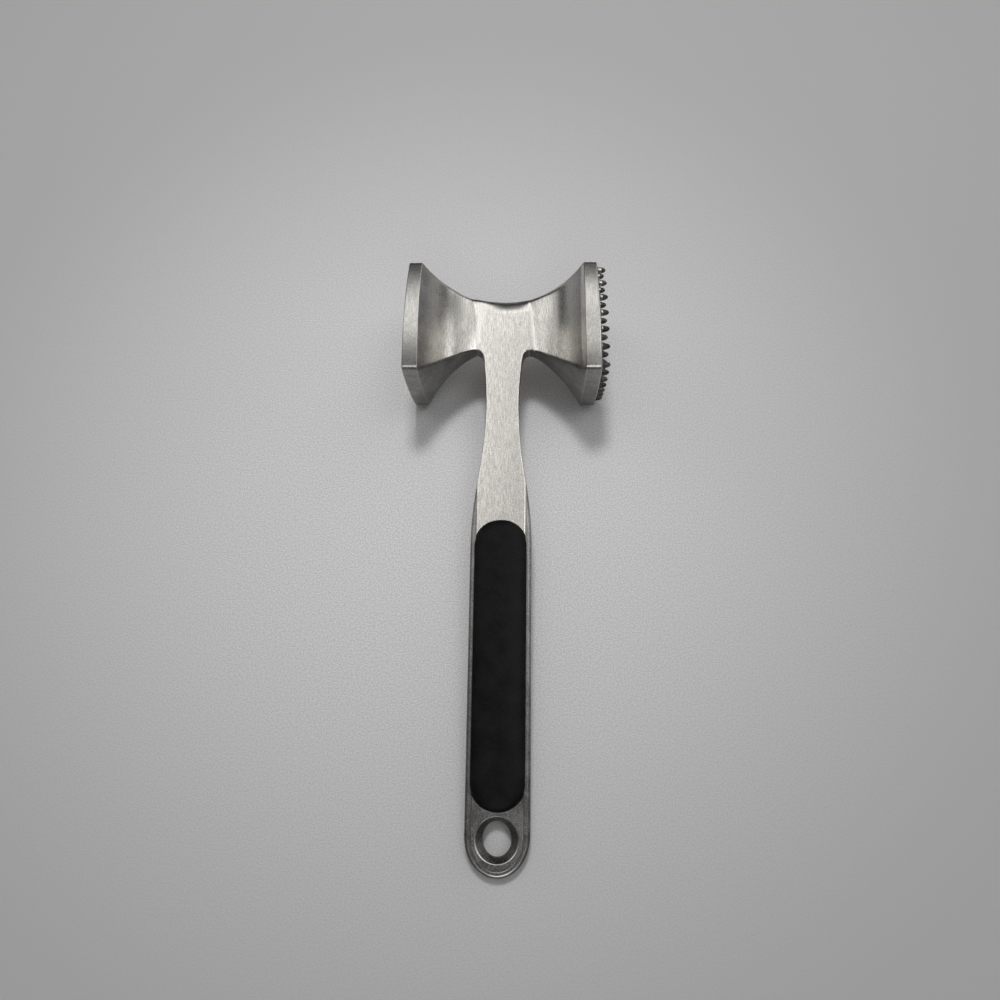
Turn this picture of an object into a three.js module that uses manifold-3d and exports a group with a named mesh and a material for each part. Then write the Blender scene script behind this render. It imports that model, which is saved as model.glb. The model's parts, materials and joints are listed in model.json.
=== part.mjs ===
// Meat mallet lying on its side: a one-piece aluminium casting with a rubber grip pad let into
// each side of its handle. Sizes are in millimetres.
// The tool's own frame: X runs from the smooth striking face to the studded one, Y from the end
// of the handle to the top of the head, and Z through the thickness. The head's axis is at zero.
import * as THREE from 'three';
import { mergeVertices } from 'three/addons/utils/BufferGeometryUtils.js';
import Module from 'manifold-3d';

const wasm = await Module();
wasm.setup();

// Head: two square plates with bowed sides, joined by a waist that flares out to them
const faceToFace = 85.3; // at the handle side, where the head is longest
const plateThickness = 6.8;
const faceHeight = 50; // corner to corner, along Y
const faceDepth = 46; // corner to corner, along Z
const faceHeightBow = 1.4;
const faceDepthBow = 4.2;
const faceLean = 1.7; // by which each face leans in from the handle side to the top
const creaseLean = 0.7; // the same for the crease behind each plate
const faceCornerRadius = 1.8;
const faceEdgeBevel = 0.6;
const waistThickness = 8;
const waistTop = 16.6;
const waistUnderside = 6;
const waistFlatLength = 23.4;
const waistTopRadius = 3;
const waistUndersideRadius = 1.2;
const coveStartAngle = THREE.MathUtils.degToRad(10.5);

// Studs of the tenderizing face
const studRows = 7;
const studHeight = 3.8;
const studDiameter = 3.1;
const studMargin = 3; // from the face's outline to the outer rows
const studRoot = 0.5; // sunk into the plate that it is cast with
// Radius and height of the points from the stud's foot to its blunt tip
const studProfileShares = [[1, 0], [0.76, 0.62], [0.6, 0.84], [0.34, 0.96], [0, 1]];

// Neck and handle: a flat bar with a thinner flange round it from the shoulder to the end
const handleReach = 229.5; // from the head's axis to the end of the handle
const handleWidth = 26.4;
const handleEndLength = 15.9; // the half ellipse that closes the outline
const ledgeWidth = 2.5; // from the bar's side to the flange's rim
const flangeThickness = 3.8;
const flangeRimRadius = 1.5;
const barEdgeRadius = 0.6;
const neckWidth = 14.7;
const neckRootWidth = 16.8;
const neckRootFillet = 4.6;
const neckRootSeat = 0.5; // the root's fillet starts this far inside the waist
const neckRootLength = 9; // from the waist's underside to the end of the root's fillet
const neckNarrowReach = 35;
const shoulderReach = 70; // where the bar has its full width
const flangeStartReach = 60; // the flange's outline starts here, inside the bar
const flangeStartInset = 1.8; // from the bar's full width
const flangeFullReach = 98;
// Handles of the two outline curves, as shares of each curve's width and length
const shoulderHandleShares = [[0, 0.4], [0.55, 0.73]];
const flangeHandleShares = [[0.43, 0.19], [1, 0.58]];

// Hang hole with a bevelled mouth on each side
const holeFromEnd = 14.7;
const holeWidth = 11.5;
const holeHeight = 13.7;
const holeMouthWidth = 17.1;
const holeMouthHeight = 17.6;
const holeLandThickness = 2.4;

// Grip pads: rounded strips with a crowned top, on the web between the two sides
const gripReach = 86.7; // from the head's axis to the pad's upper end
const gripEndMargin = 25.4; // from the pad's lower end to the end of the handle
const gripWidth = 22.2;
const gripSideHeight = 1.9; // of the pad's upright side
const gripCrown = 2.5;
const gripCrownShare = 0.93; // of the crown's quarter turn, up to the flat strip along its top
const gripClearance = 0.3; // between the pad and the ends of its recess
const gripBondGap = 0.3; // filled by the adhesive under the pad
const pegDiameter = 5;
const pegClearance = 0.3;
const pegInset = 23.7; // from each end of the pad
const pegTipGap = 0.3; // from a peg's end to the middle of the web

const overrun = 1; // by which a cutting shape runs past the surface that it cuts
const filletLimitShare = 0.45; // of the shortest side that a corner is rounded on

// Facets
const sideSteps = 8;
const cornerSteps = 3;
const coveSteps = 10;
const undersideSteps = 3;
const studSides = 10;
const roundSteps = 14;
const crownSteps = 7;
const ellipseSteps = 36;
const outlineSteps = 14;
const pegSides = 20;

// Places that follow from the sizes
const faceX = faceToFace / 2;
const plateInnerX = faceX - plateThickness;
const halfWaist = waistThickness / 2;
const halfFaceHeight = faceHeight / 2;
const halfFaceDepth = faceDepth / 2;
const halfFlange = flangeThickness / 2;
const barHalfWidth = handleWidth / 2 - ledgeWidth;
const handleEndCentreY = handleEndLength - handleReach;
const holeCentreY = holeFromEnd - handleReach;
const gripLength = handleReach - gripReach - gripEndMargin;
const gripCentreY = -gripReach - gripLength / 2;
const gripFloor = halfFlange + gripBondGap;

const aluminium = new THREE.MeshStandardMaterial({ color: 0xb9b7b2, roughness: 0.42, metalness: 1 });
const rubber = new THREE.MeshStandardMaterial({ color: 0x1c1c1d, roughness: 0.62, metalness: 0 });

// A closed solid skinned over rings of equal count, each anticlockwise about the loft's axis
function loft(rings) {
  const count = rings[0].length;
  const positions = rings.flat().flatMap((point) => [point.x, point.y, point.z]);
  const index = [];
  for (let ring = 0; ring + 1 < rings.length; ring++) {
    for (let i = 0; i < count; i++) {
      const a = ring * count + i;
      const b = ring * count + (i + 1) % count;
      index.push(a, b, a + count, b, b + count, a + count);
    }
  }
  for (const ring of [0, rings.length - 1]) {
    const centre = rings[ring].reduce((sum, point) => sum.add(point), new THREE.Vector3());
    centre.divideScalar(count);
    const hub = positions.length / 3;
    positions.push(centre.x, centre.y, centre.z);
    for (let i = 0; i < count; i++) {
      const a = ring * count + i;
      const b = ring * count + (i + 1) % count;
      index.push(hub, ...(ring === 0 ? [b, a] : [a, b]));
    }
  }
  const geometry = new THREE.BufferGeometry();
  geometry.setAttribute('position', new THREE.Float32BufferAttribute(positions, 3));
  geometry.setIndex(index);
  return geometry;
}

// A mesh geometry as a solid that can be joined and cut
function toSolid(geometry) {
  const bare = geometry.clone();
  bare.deleteAttribute('normal');
  bare.deleteAttribute('uv');
  const welded = mergeVertices(bare);
  return new wasm.Manifold(new wasm.Mesh({
    numProp: 3,
    vertProperties: Float32Array.from(welded.attributes.position.array),
    triVerts: Uint32Array.from(welded.index.array),
  }));
}

function toGeometry(solid) {
  const mesh = solid.getMesh();
  const geometry = new THREE.BufferGeometry();
  geometry.setAttribute('position', new THREE.BufferAttribute(mesh.vertProperties, 3));
  geometry.setIndex(new THREE.BufferAttribute(mesh.triVerts, 1));
  geometry.computeVertexNormals();
  return geometry;
}

// Point of the bowed face outline: across runs from -1 to 1 along Y, deep along Z
function onFace(across, deep, inset) {
  const height = halfFaceHeight + faceHeightBow * (1 - deep * deep) - inset;
  const depth = halfFaceDepth + faceDepthBow * (1 - across * across) - inset;
  return new THREE.Vector2(across * height, deep * depth);
}

// Half thickness of the head at x: flat over the waist, then an arc that rises to the plate
function halfDepthAt(x) {
  const start = waistFlatLength / 2;
  if (x <= start) return halfWaist;
  const run = plateInnerX - start;
  const rise = halfFaceDepth - halfWaist;
  const turn = 2 * (Math.atan2(rise, run) - coveStartAngle);
  const radius = Math.hypot(run, rise) / (2 * Math.sin(turn / 2));
  const angle = Math.asin((x - start) / radius + Math.sin(coveStartAngle));
  return halfWaist + radius * (Math.cos(coveStartAngle) - Math.cos(angle));
}

// The top dips in one long shallow curve from plate to plate
function topAt(x) {
  const share = x / plateInnerX;
  return waistTop + (halfFaceHeight - waistTop) * share * share;
}

// The underside, where the neck leaves, is a deeper arch of the same kind
function undersideAt(x) {
  const share = x / plateInnerX;
  return -waistUnderside - (halfFaceHeight - waistUnderside) * share * share;
}

// Lean of the head at x over its whole height: none at the waist, most at the face
function leanAt(x) {
  if (x > plateInnerX) {
    return THREE.MathUtils.mapLinear(x, plateInnerX, faceX, creaseLean, faceLean);
  }
  return creaseLean * Math.max(0, x - waistFlatLength / 2) / (plateInnerX - waistFlatLength / 2);
}

// A point of the head, moved in toward the middle by its height above the handle side
function leanIn(x, y, z) {
  const lean = leanAt(Math.abs(x)) * (y + halfFaceHeight) / faceHeight;
  return new THREE.Vector3(x - Math.sign(x) * lean, y, z);
}

// Closed ring of the head at x: four bowed sides joined by rounded corners
function headRing(x, halfDepth, top, underside, flare, topRadius, undersideRadius) {
  const corners = [[top, halfDepth], [underside, halfDepth], [underside, -halfDepth], [top, -halfDepth]]
    .map(([y, z]) => new THREE.Vector2(y, z));
  const outward = [[0, 1], [-1, 0], [0, -1], [1, 0]].map(([y, z]) => new THREE.Vector2(y, z));
  const bows = [faceDepthBow, faceHeightBow, faceDepthBow, faceHeightBow];
  const radii = [topRadius, undersideRadius, undersideRadius, topRadius];
  const sides = corners.map((corner, i) => {
    const next = corners[(i + 1) % corners.length];
    const control = corner.clone().lerp(next, 0.5).addScaledVector(outward[i], 2 * bows[i] * flare);
    return new THREE.QuadraticBezierCurve(corner, control, next);
  });
  const lengths = sides.map((side) => side.getLength());
  const points = [];
  sides.forEach((side, i) => {
    const after = (i + 1) % sides.length;
    const limit = filletLimitShare * Math.min(...lengths);
    const first = Math.min(radii[i], limit) / lengths[i];
    const last = 1 - Math.min(radii[after], limit) / lengths[i];
    for (let k = 0; k <= sideSteps; k++) {
      points.push(side.getPoint(THREE.MathUtils.lerp(first, last, k / sideSteps)));
    }
    const start = sides[after].getPoint(Math.min(radii[after], limit) / lengths[after]);
    const corner = new THREE.QuadraticBezierCurve(side.getPoint(last), corners[after], start);
    for (let k = 1; k < cornerSteps; k++) points.push(corner.getPoint(k / cornerSteps));
  });
  return points.map((point) => leanIn(x, point.x, point.y));
}

// Places along half of the head where its rings stand, close together where the cove is steep
function coveStations() {
  const start = waistFlatLength / 2;
  const stations = [];
  for (let i = 0; i < undersideSteps; i++) stations.push(start * i / undersideSteps);
  for (let i = 0; i < coveSteps; i++) {
    stations.push(start + (plateInnerX - start) * Math.sin(Math.PI / 2 * i / coveSteps));
  }
  return stations;
}

function makeHead() {
  const plateRing = (x, inset) => headRing(
    x, halfFaceDepth - inset, halfFaceHeight - inset, inset - halfFaceHeight, 1,
    faceCornerRadius, faceCornerRadius);
  const coveRing = (x) => {
    const away = Math.abs(x);
    const halfDepth = halfDepthAt(away);
    const flare = (halfDepth - halfWaist) / (halfFaceDepth - halfWaist);
    return headRing(x, halfDepth, topAt(away), undersideAt(away), flare,
      THREE.MathUtils.lerp(waistTopRadius, faceCornerRadius, flare),
      THREE.MathUtils.lerp(waistUndersideRadius, faceCornerRadius, flare));
  };
  const half = coveStations();
  const mirrored = half.slice(1).reverse().map((x) => -x);
  return toSolid(loft([
    plateRing(-faceX, faceEdgeBevel),
    plateRing(faceEdgeBevel - faceX, 0),
    plateRing(-plateInnerX, 0),
    ...[...mirrored, ...half].map(coveRing),
    plateRing(plateInnerX, 0),
    plateRing(faceX - faceEdgeBevel, 0),
    plateRing(faceX, faceEdgeBevel),
  ]));
}

// Rows of blunt studs, upright on the leaning face and following its bowed outline
function makeStuds() {
  const profile = [
    new THREE.Vector2(0, -studRoot),
    new THREE.Vector2(studDiameter / 2, -studRoot),
    ...studProfileShares.map(([r, h]) => new THREE.Vector2(r * studDiameter / 2, h * studHeight)),
  ];
  const stud = new THREE.LatheGeometry(profile, studSides);
  stud.rotateZ(Math.atan(faceLean / faceHeight) - Math.PI / 2);
  const studs = [];
  for (let row = 0; row < studRows; row++) {
    for (let column = 0; column < studRows; column++) {
      const share = (i) => 2 * i / (studRows - 1) - 1;
      const place = onFace(share(row), share(column), studMargin);
      const foot = leanIn(faceX, place.x, place.y);
      studs.push(toSolid(stud.clone().translate(foot.x, foot.y, foot.z)));
    }
  }
  return studs;
}

// A soft curve between two points, with its handles placed by shares of its width and length
function outlineCurve(start, end, handleShares) {
  const [first, second] = handleShares.map(([across, along]) => new THREE.Vector2(
    THREE.MathUtils.lerp(start.x, end.x, across), THREE.MathUtils.lerp(start.y, end.y, along)));
  return new THREE.CubicBezierCurve(start, first, second, end);
}

// Right side of the bar's outline, from the waist down to where its width stays the same
function barSide() {
  const rootX = neckRootWidth / 2;
  const neckX = neckWidth / 2;
  const filletX = rootX + neckRootFillet;
  const filletTop = new THREE.Vector2(filletX, undersideAt(filletX) + neckRootSeat);
  const rootEnd = new THREE.Vector2(rootX, -waistUnderside - neckRootLength);
  const narrow = new THREE.Vector2(neckX, -neckNarrowReach);
  const shoulder = new THREE.Vector2(barHalfWidth, -shoulderReach);
  const curves = [
    new THREE.QuadraticBezierCurve(filletTop, new THREE.Vector2(rootX, filletTop.y), rootEnd),
    new THREE.QuadraticBezierCurve(rootEnd, new THREE.Vector2(neckX, (rootEnd.y + narrow.y) / 2), narrow),
    outlineCurve(narrow, shoulder, shoulderHandleShares),
  ];
  const inside = new THREE.Vector2(filletX, 0); // the bar starts inside the waist
  return [inside, filletTop, ...curves.flatMap((curve) => curve.getPoints(outlineSteps).slice(1))];
}

// The flange swells out of the bar below the neck and reaches its full width at the grip
function flangeSide() {
  const start = new THREE.Vector2(barHalfWidth - flangeStartInset, -flangeStartReach);
  const end = new THREE.Vector2(handleWidth / 2, -flangeFullReach);
  return outlineCurve(start, end, flangeHandleShares).getPoints(outlineSteps);
}

// Whole outline from its right side: mirrored, and closed at the bottom by a half ellipse
function closeOutline(side, halfWidth, endLength) {
  const outline = [...side];
  for (let i = 0; i <= ellipseSteps / 2; i++) {
    const angle = Math.PI * i / ellipseSteps;
    outline.push(new THREE.Vector2(
      halfWidth * Math.cos(angle), handleEndCentreY - endLength * Math.sin(angle)));
  }
  const mirrored = outline.slice(0, -1).reverse().map((point) => new THREE.Vector2(-point.x, point.y));
  return new THREE.Shape([...outline, ...mirrored]);
}

// A plate of the outline with rounded edges, centred on the mid plane
function roundedPlate(shape, thickness, edgeRadius, edgeSegments) {
  const geometry = new THREE.ExtrudeGeometry(shape, {
    depth: thickness - 2 * edgeRadius,
    bevelThickness: edgeRadius,
    bevelSize: edgeRadius,
    bevelOffset: -edgeRadius,
    bevelSegments: edgeSegments,
    curveSegments: 1,
  });
  geometry.translate(0, 0, edgeRadius - thickness / 2);
  return toSolid(geometry);
}

function makeBar() {
  const outline = closeOutline(barSide(), barHalfWidth, handleEndLength - ledgeWidth);
  return roundedPlate(outline, waistThickness, barEdgeRadius, 2);
}

function makeFlange() {
  const outline = closeOutline(flangeSide(), handleWidth / 2, handleEndLength);
  return roundedPlate(outline, flangeThickness, flangeRimRadius, 3);
}

function ellipseRing(width, height, centreY, z) {
  const ring = [];
  for (let i = 0; i < ellipseSteps; i++) {
    const angle = 2 * Math.PI * i / ellipseSteps;
    const y = centreY + height / 2 * Math.sin(angle);
    ring.push(new THREE.Vector3(width / 2 * Math.cos(angle), y, z));
  }
  return ring;
}

// Cutting shape of the hang hole: straight in the middle, with a bevel to each side
function holeCutter() {
  const land = holeLandThickness / 2;
  const slopeDepth = halfWaist - land;
  const past = 1 + overrun / slopeDepth;
  const width = THREE.MathUtils.lerp(holeWidth, holeMouthWidth, past);
  const height = THREE.MathUtils.lerp(holeHeight, holeMouthHeight, past);
  const mouth = halfWaist + overrun;
  return toSolid(loft([
    ellipseRing(width, height, holeCentreY, -mouth),
    ellipseRing(holeWidth, holeHeight, holeCentreY, -land),
    ellipseRing(holeWidth, holeHeight, holeCentreY, land),
    ellipseRing(width, height, holeCentreY, mouth),
  ]));
}

// Closed ring with straight sides and round ends, anticlockwise about Z
function stripRing(halfWidth, halfLength, z) {
  const ring = [];
  const straight = halfLength - gripWidth / 2;
  for (const end of [1, -1]) {
    for (let i = 0; i <= roundSteps; i++) {
      const angle = Math.PI * i / roundSteps;
      const x = end * halfWidth * Math.cos(angle);
      ring.push(new THREE.Vector3(x, end * (straight + halfWidth * Math.sin(angle)), z));
    }
  }
  return ring;
}

// Cutting shape of the recess that the front pad lies in
function gripRecess() {
  const halfWidth = gripWidth / 2 + gripClearance;
  const ring = (z) => stripRing(halfWidth, gripLength / 2, z);
  return toSolid(loft([ring(halfFlange), ring(halfWaist + overrun)]).translate(0, gripCentreY, 0));
}

function pegPlaces() {
  const place = gripLength / 2 - pegInset;
  return [-place, place];
}

function pegShape(diameter, low, high, y) {
  const peg = new THREE.CylinderGeometry(diameter / 2, diameter / 2, high - low, pegSides);
  peg.rotateX(Math.PI / 2);
  return toSolid(peg.translate(0, y, (low + high) / 2));
}

// The casting: head, studs, neck and handle in one, with the recesses and holes cut from it
function makeCasting() {
  const blank = [makeBar(), makeFlange(), ...makeStuds()].reduce((sum, piece) => sum.add(piece), makeHead());
  const front = gripRecess();
  const rear = front.rotate([0, 180, 0]);
  const holeDiameter = pegDiameter + 2 * pegClearance;
  const pegHoles = pegPlaces().map((place) => pegShape(
    holeDiameter, -halfFlange - overrun, halfFlange + overrun, gripCentreY + place));
  return [front, rear, holeCutter(), ...pegHoles].reduce((rest, cutter) => rest.subtract(cutter), blank);
}

// The front pad: upright sides, a top crowned as a quarter ellipse, and two pegs underneath
function makeGripPad() {
  const halfWidth = gripWidth / 2;
  const shoulder = gripFloor + gripSideHeight;
  const rings = [stripRing(halfWidth, gripLength / 2, gripFloor)];
  for (let i = 0; i <= crownSteps; i++) {
    const angle = Math.PI / 2 * gripCrownShare * i / crownSteps;
    const width = halfWidth * Math.cos(angle);
    rings.push(stripRing(width, gripLength / 2, shoulder + gripCrown * Math.sin(angle)));
  }
  const pad = toSolid(loft(rings).translate(0, gripCentreY, 0));
  const pegs = pegPlaces().map((place) => pegShape(
    pegDiameter, pegTipGap, shoulder, gripCentreY + place));
  return pegs.reduce((sum, peg) => sum.add(peg), pad);
}

// Slope of the table against the mallet's mid plane: a line from the end of the bar that just
// touches the bowed lower side of the head
function restSlope() {
  const bow = faceDepthBow / (halfFaceHeight * halfFaceHeight);
  const endY = ledgeWidth + barEdgeRadius - handleReach;
  const drop = halfFaceDepth + faceDepthBow - halfWaist;
  const root = Math.sqrt((2 * bow * endY) ** 2 - 4 * bow * drop);
  return -(2 * bow * endY + root);
}

function namedMesh(name, geometry, material) {
  const mesh = new THREE.Mesh(geometry, material);
  mesh.name = name;
  return mesh;
}

const casting = namedMesh('mallet_casting', toGeometry(makeCasting()), aluminium);
const padGeometry = toGeometry(makeGripPad());
const frontPad = namedMesh('front_grip_pad', padGeometry, rubber);
const rearPad = namedMesh('rear_grip_pad', padGeometry, rubber);
rearPad.rotation.y = Math.PI;

// The mallet as it lies: tipped on to the end of its handle, its box centred over the origin
const mallet = new THREE.Group();
mallet.add(casting, frontPad, rearPad);
mallet.rotation.x = Math.atan(restSlope());
const part = new THREE.Group();
part.add(mallet);
const box = new THREE.Box3().setFromObject(part, true);
mallet.position.set(-(box.min.x + box.max.x) / 2, -(box.min.y + box.max.y) / 2, -box.min.z);

export default part;
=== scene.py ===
import json
import math

import bmesh
import bpy
from mathutils import Euler, Matrix, Vector


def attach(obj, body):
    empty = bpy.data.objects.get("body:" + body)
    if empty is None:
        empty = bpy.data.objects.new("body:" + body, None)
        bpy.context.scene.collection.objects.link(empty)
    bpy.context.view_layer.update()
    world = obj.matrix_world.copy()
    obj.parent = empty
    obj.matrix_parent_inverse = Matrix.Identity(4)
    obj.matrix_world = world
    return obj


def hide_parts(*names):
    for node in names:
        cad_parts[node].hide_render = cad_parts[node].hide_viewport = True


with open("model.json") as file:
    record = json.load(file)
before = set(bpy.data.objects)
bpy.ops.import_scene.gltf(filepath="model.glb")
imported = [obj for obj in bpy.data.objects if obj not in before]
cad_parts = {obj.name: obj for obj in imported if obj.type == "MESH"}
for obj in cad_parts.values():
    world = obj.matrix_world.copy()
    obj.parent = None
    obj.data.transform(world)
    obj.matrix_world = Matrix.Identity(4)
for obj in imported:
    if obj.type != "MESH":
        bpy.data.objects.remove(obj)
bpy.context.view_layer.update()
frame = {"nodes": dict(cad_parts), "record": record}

print("frame loaded:", sorted(frame["nodes"]))

# Lengths of the mallet are in millimetres, in the tool's own frame: X runs from the smooth striking
# face to the studded one, Y from the end of the handle to the top of the head, Z through the thickness.
headSizes = {
    "faceToFace": 85.3,       # at the handle side, where the head is longest
    "plateThickness": 6.8,
    "faceHeight": 50,
    "faceDepth": 46,
    "faceHeightBow": 1.4,
    "faceDepthBow": 4.2,
    "faceLean": 1.7,          # by which each face leans in from the handle side to the top
    "creaseLean": 0.7,        # the same for the crease behind each plate
    "faceCornerRadius": 1.8,
    "faceEdgeRadius": 0.6,
    "waistThickness": 8,
    "waistTop": 16.6,
    "waistUnderside": 6,
    "waistFlatLength": 23.4,
    "waistTopRadius": 3,
    "waistUndersideRadius": 1.2,
    "coveStartAngle": math.radians(10.5),
    "plateSoftening": 0.5,    # rounds the crease between a plate's rim and the cove
    "bossSoftening": 0.07,    # rounds the crease between the flat boss and the cove
    "filletLimit": 0.45,      # share of the shortest side that a corner is rounded on
    "sideSteps": 26,
    "cornerSteps": 8,
    "coveSteps": 44,
    "flatSteps": 10,
    "edgeSteps": 5,
    # Where extra rings stand: inwards from the flat's end, and outwards from it and from each crease
    "flatEndPlaces": (5, 4.2, 3.6, 3, 2.2, 1.8, 1.4, 1.1, 0.8, 0.5, 0.25, 0.1),
    "coveStartPlaces": (0, 0.096, 0.24, 0.48, 0.72),
    "creasePlaces": (0, 0.12, 0.24, 0.4, 0.64, 0.96),
    "sharpAngle": math.radians(38),
}

# The flat boss in the middle of the head: a land with rolled sides and a worn brow at its top. Each
# side's edge leans and curls with height, and its roll and step turn from the first value into the
# second between the heights in worn
landSizes = {
    "left": {"edge": -11.75, "lean": 0.05, "curl": 0.0065, "roll": (1.7, 4.2), "step": (0.13, 0.24)},
    "right": {"edge": 13.65, "lean": 0.088, "curl": 0, "roll": (1.5, 1.7), "step": (0.11, 0.14)},
    "blend": 12,              # beyond the land's edge, where its shift has died out
    "fade": 7,                # the same for its step
    "browReach": 7.4,
    "browDepth": 2.2,
    "browRise": (-10, 1),
    "browFall": (4, 15),
    "worn": (-4, 14),
    "core": [(10.4, 0), (10.8, -4)],  # points of the bar's outline that lie inside the land
}

handleSizes = {
    "reach": 229.5,           # from the head's axis to the end of the handle
    "width": 26.4,
    "endLength": 15.9,
    "ledgeWidth": 2.5,
    "flangeThickness": 3.8,
    "flangeRimRadius": 1.5,
    "barEdgeRadius": 0.6,
    "neckWidth": 14.7,
    "rootWidth": 16.8,
    "rootFillet": 4.6,
    "rootSeat": 0.5,
    "rootLength": 9,
    "rootSkip": 4,            # steps of the root's curve that its sharp upper end leaves out
    "narrowReach": 35,
    "shoulderReach": 70,
    "flangeStartReach": 60,
    "flangeStartInset": 1.8,
    "flangeFullReach": 98,
    "shoulderHandles": [(0, 0.4), (0.55, 0.73)],
    "flangeHandles": [(0.43, 0.19), (1, 0.58)],
    "curveSteps": 28,
    "endSteps": 80,
    "barEdgeSteps": 6,
    "rimSteps": 8,
}

holeSizes = {
    "fromEnd": 14.7,
    "width": 11.5,
    "height": 13.7,
    "mouthWidth": 17.1,
    "mouthHeight": 17.6,
    "landThickness": 2.4,
    "mouthEdgeRadius": 0.35,
    "steps": 96,
    "edgeSteps": 5,
}

gripSizes = {
    "reach": 86.7,
    "length": 117.4,
    "width": 22.2,
    "sideHeight": 1.9,
    "crown": 2.5,
    "clearance": 0.3,
    "bondGap": 0.3,
    "footRadius": 0.35,
    "recessEdgeRadius": 0.45,
    "pegDiameter": 5,
    "pegClearance": 0.3,
    "pegInset": 23.7,         # from each end of the pad
    "pegTipGap": 0.3,
    "pegSides": 32,
    "roundSteps": 40,
    "crownSteps": 22,
    "footSteps": 4,
    "recessEdgeSteps": 5,
    "sharpAngle": math.radians(60),
}

studSizes = {
    "rows": 7,
    "height": 3.8,
    "diameter": 3.1,
    "margin": 3,
    "root": 0.5,
    "sides": 20,
    "steps": 18,
    # Radius of a stud along its length, from its root in the plate to its blunt tip
    "profile": [(0, 1.3), (0.12, 1.28), (0.19, 1.07), (0.5, 0.88), (0.78, 0.67), (0.9, 0.5), (0.97, 0.29),
                (1, 0.12)],
}

# How much of the casting's skin shows where: 0 is brushed, 1 raw, and above 1 the colour is darker still.
# The value also carries painted light: the raw brow and the darker mouth of the hang hole are painted shade,
# and the lighter lips are painted highlights. Slopes are the share of a normal that points to the front or back
skinSizes = {
    "plate": 0.35,
    "plateReach": (1.2, 0.4),     # before the plate's inner side, where the plate's skin sets in
    "studs": 2,
    "studReach": 0.3,             # off the face, where the studs' darkening sets in
    "smoothFace": 0.4,
    "smoothFaceSlope": -0.9,      # of a normal that points out of the smooth face
    # raw skin on the brow: painted shade for the dark band along the top's rounding
    "brow": 0.75,
    "browShares": (0.1, 0.55),
    # raw skin darkened further in the hang hole's mouth and wall: painted shade
    "mouth": 1.6,
    "mouthReach": 0.3,
    "mouthSlope": 0.99,
    "mouthLip": 1.3,              # by which the mouth's lip is lighter: a painted highlight
    "endLip": 0.8,                # share by which the lip of the handle's end is lighter: a painted highlight
    "endLipHeights": (-216, -219),
    "lipSlopes": ((0.76, 0.82), (0.98, 0.998)),
    "rimSlopes": (0.4, 0.75),
    "plateRimSlopes": (0.75, 0.95),
    "ledgeReach": 0.05,           # off the flange's flats
    "darkening": 0.65,                # by which the handle's raw sides are darker toward its end
    "darkeningHeights": (-130, -185),
    "rawHeights": (-190, -197),   # of the flat round the hang hole, which is not brushed
}

# Where edges are worn, and where the land's rolls are worn to a polish. Both are lighter in colour, partly from
# wear and partly as painted highlights
wearSizes = {
    "plain": 0.35,
    "bends": (0.08, 0.7),         # turns per millimetre
    "widePatch": 12,              # area above which a flat patch takes no wear at its edges
    "polishSlope": 0.8,
    "polishInner": (-1, -0.3),    # across the roll, from its inner side to its edge
    "polishOuter": (0, 0.5),
}

overrun = 1                   # by which a cutting shape runs past the surface that it cuts
mergeReach = 0.002            # points closer than this are joined
sliverReach = 0.001           # faces narrower than this are dissolved
flatCosine = 1 - 1e-6         # between the normals of faces that lie in one flat patch
faceX = headSizes["faceToFace"] / 2
plateInnerX = faceX - headSizes["plateThickness"]
halfFlat = headSizes["waistFlatLength"] / 2
halfWaist = headSizes["waistThickness"] / 2
halfFaceHeight = headSizes["faceHeight"] / 2
halfFaceDepth = headSizes["faceDepth"] / 2
halfFlange = handleSizes["flangeThickness"] / 2
barHalfWidth = handleSizes["width"] / 2 - handleSizes["ledgeWidth"]
handleEndY = handleSizes["endLength"] - handleSizes["reach"]
holeY = holeSizes["fromEnd"] - handleSizes["reach"]
gripY = -gripSizes["reach"] - gripSizes["length"] / 2


# Slope at which the mallet lies: on the end of its bar and on the bowed lower side of its head
def restSlope():
    bow = headSizes["faceDepthBow"] / halfFaceHeight ** 2
    endY = handleSizes["ledgeWidth"] + handleSizes["barEdgeRadius"] - handleSizes["reach"]
    drop = halfFaceDepth + headSizes["faceDepthBow"] - halfWaist
    return -(2 * bow * endY + math.sqrt((2 * bow * endY) ** 2 - 4 * bow * drop))


# The head's axis comes from the smooth face's mount, and the tilt from the sizes
mount = frame["record"]["mounts"][0]
restTilt = math.atan(restSlope())
headAxis = Vector(mount["pos_m"]) + Vector(((faceX - headSizes["faceLean"] / 2) / 1000, 0, 0))
toolToRow = Matrix.Translation(headAxis) @ Matrix.Rotation(restTilt, 4, "X") @ Matrix.Scale(0.001, 4)
print("rest tilt:", round(math.degrees(restTilt), 3), "degrees")


def newObject(name, mesh):
    thing = bpy.data.objects.new(name, mesh)
    bpy.context.scene.collection.objects.link(thing)
    return thing


# A closed mesh skinned over rings of equal count, each anticlockwise about the loft's axis
def loft(name, rings):
    count = len(rings[0])
    points = [tuple(point) for ring in rings for point in ring]
    faces = []
    for row in range(len(rings) - 1):
        for i in range(count):
            a = row * count + i
            b = row * count + (i + 1) % count
            faces.append((a, b, b + count, a + count))
    faces.append(tuple(reversed(range(count))))
    faces.append(tuple(range((len(rings) - 1) * count, len(rings) * count)))
    mesh = bpy.data.meshes.new(name)
    mesh.from_pydata(points, [], faces)
    mesh.validate()
    return newObject(name, mesh)


# Replaces an object's mesh by the one that its modifiers make
def applyModifiers(thing):
    graph = bpy.context.evaluated_depsgraph_get()
    mesh = bpy.data.meshes.new_from_object(thing.evaluated_get(graph))
    thing.modifiers.clear()
    thing.data = mesh


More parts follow.
